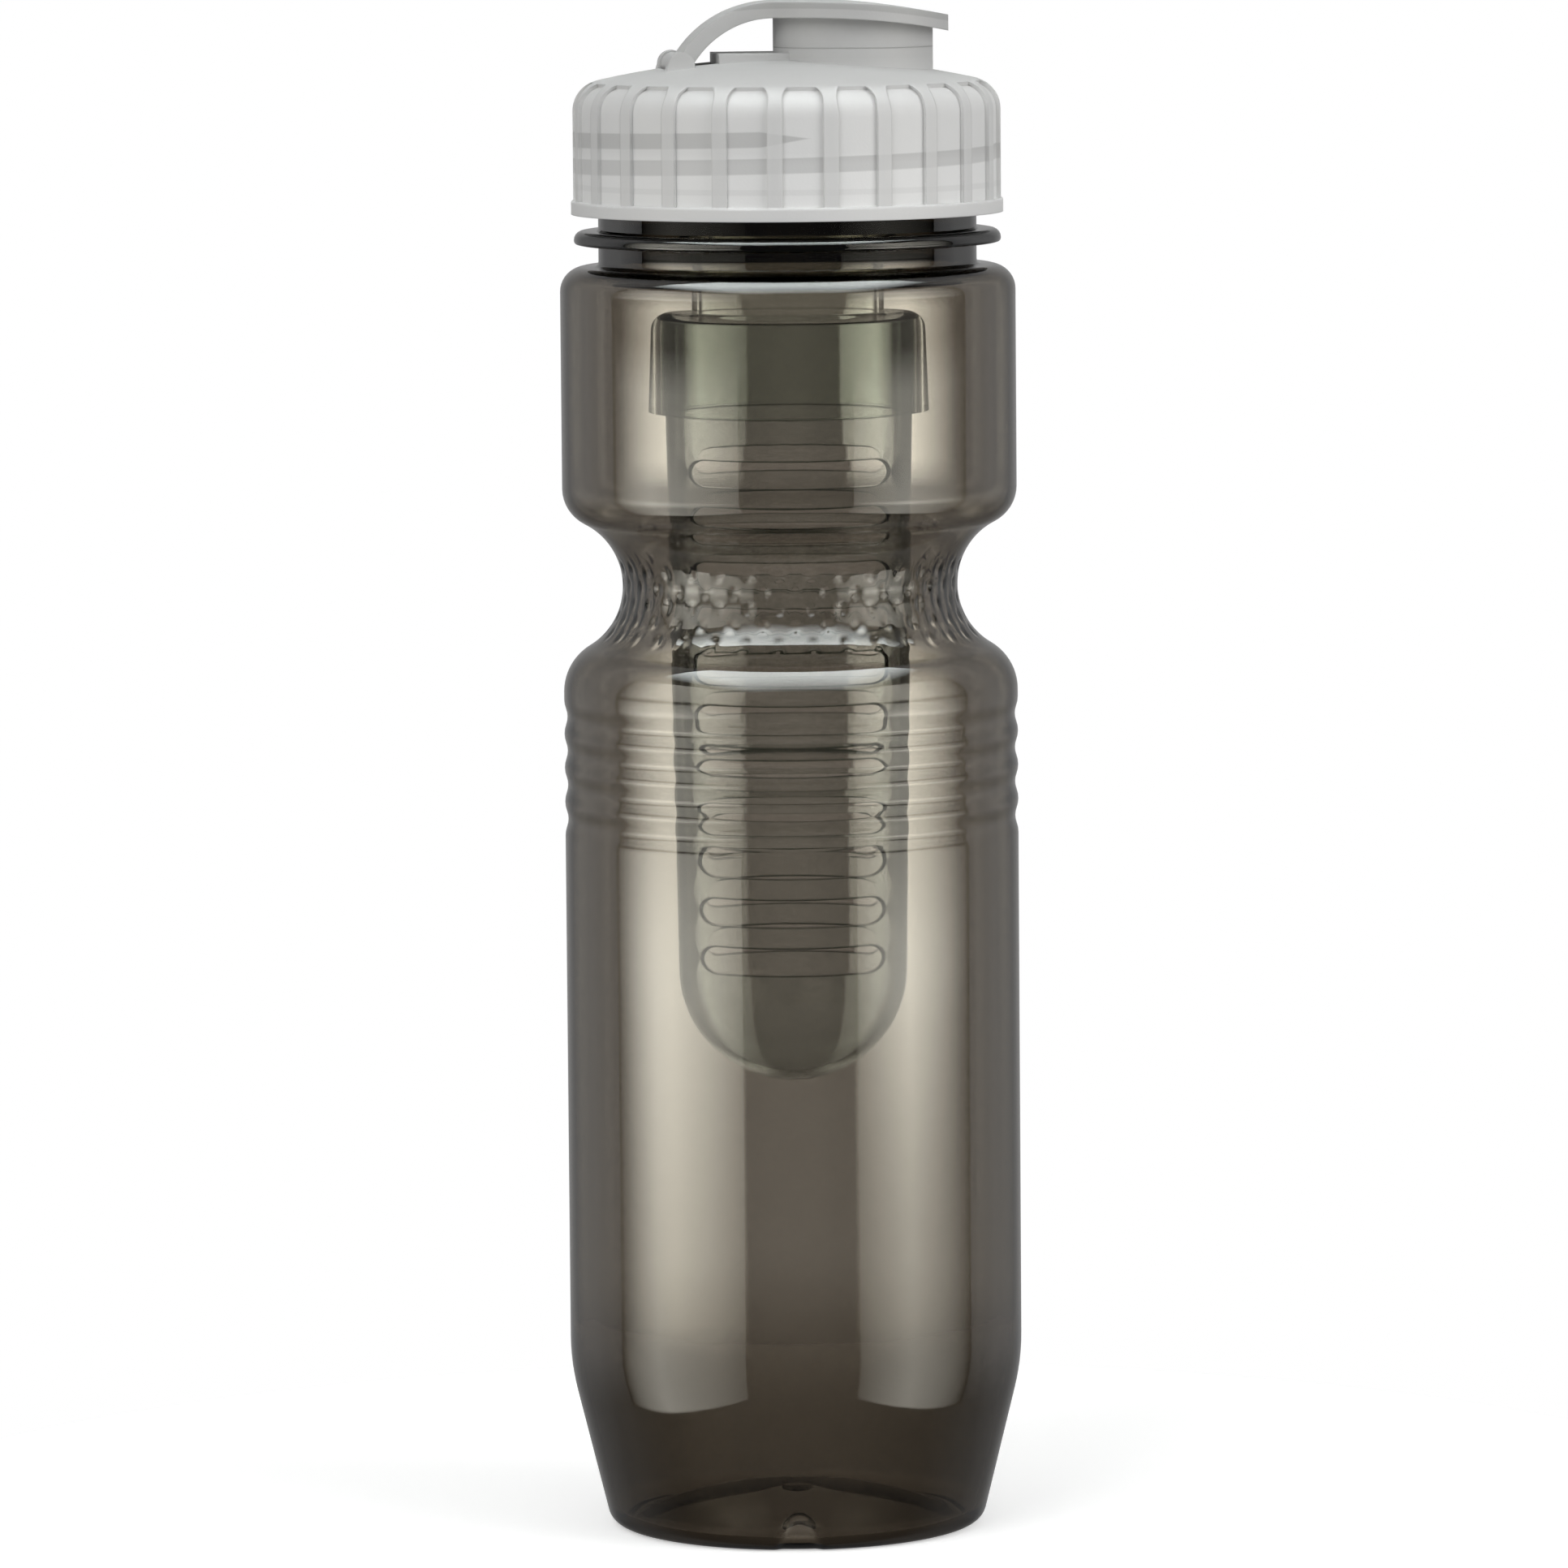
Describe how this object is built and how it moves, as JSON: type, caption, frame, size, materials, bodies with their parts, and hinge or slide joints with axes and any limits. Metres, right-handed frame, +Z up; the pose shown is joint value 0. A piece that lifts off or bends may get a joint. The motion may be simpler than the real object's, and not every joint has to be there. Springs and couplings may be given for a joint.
{
  "type": "fruit infuser water bottle",
  "caption": "Smoke-tinted sport bottle with a ringed, narrow-waisted body, fluted screw cap with flip lid over a spout, and a slotted fruit infuser hanging from the cap.",
  "frame": {"origin": "centre of the standing ring under the base", "axes": "+Z up along the bottle's axis, +X towards the spout, hinge of the lid on the -X side, +Y away from the viewer"},
  "size_m": [0.073, 0.073, 0.2458],
  "materials": {
    "smoke_plastic": "clear, smoke tinted, polished",
    "frosted_plastic": "frosted natural, translucent",
    "clear_plastic": "clear with a faint green tint",
    "silicone": "translucent silicone"
  },
  "bodies": {
    "bottle": {"bottle_heel": "smoke_plastic", "bottle_body": "smoke_plastic", "bottle_waist": "smoke_plastic", "bottle_neck": "smoke_plastic"},
    "gasket": {"cap_gasket": "silicone"},
    "seal": {"collar_seal": "silicone"},
    "cap": {"screw_cap": "frosted_plastic"},
    "lid": {"flip_lid": "frosted_plastic"},
    "collar": {"infuser_collar": "frosted_plastic"},
    "basket": {"infuser_basket": "clear_plastic"}
  },
  "joints": [
    {"name": "cap_lift_off", "type": "slide", "parent": "bottle", "child": "gasket", "axis": [0, 0, 1], "range_m": [0, 0.2]},
    {"name": "cap_thread_rise", "type": "slide", "parent": "gasket", "child": "seal", "axis": [0, 0, 1], "range_m": [0, 0.0063]},
    {"name": "cap_turn", "type": "hinge", "parent": "seal", "child": "cap", "pos_m": [0, 0, 0.22664], "axis": [0, 0, 1], "range_deg": [0, 540]},
    {"name": "lid_flip", "type": "hinge", "parent": "cap", "child": "lid", "pos_m": [-0.0177, 0, 0.23584], "axis": [0, -1, 0], "range_deg": [0, 120]},
    {"name": "infuser_pull", "type": "slide", "parent": "cap", "child": "collar", "axis": [0, 0, -1], "range_m": [0, 0.012]},
    {"name": "basket_pull", "type": "slide", "parent": "collar", "child": "basket", "axis": [0, 0, -1], "range_m": [0, 0.018]}
  ],
  "couplings": [
    {"joint": "cap_thread_rise", "follows": "cap_turn", "m_per_rad": 0.000668}
  ]
}
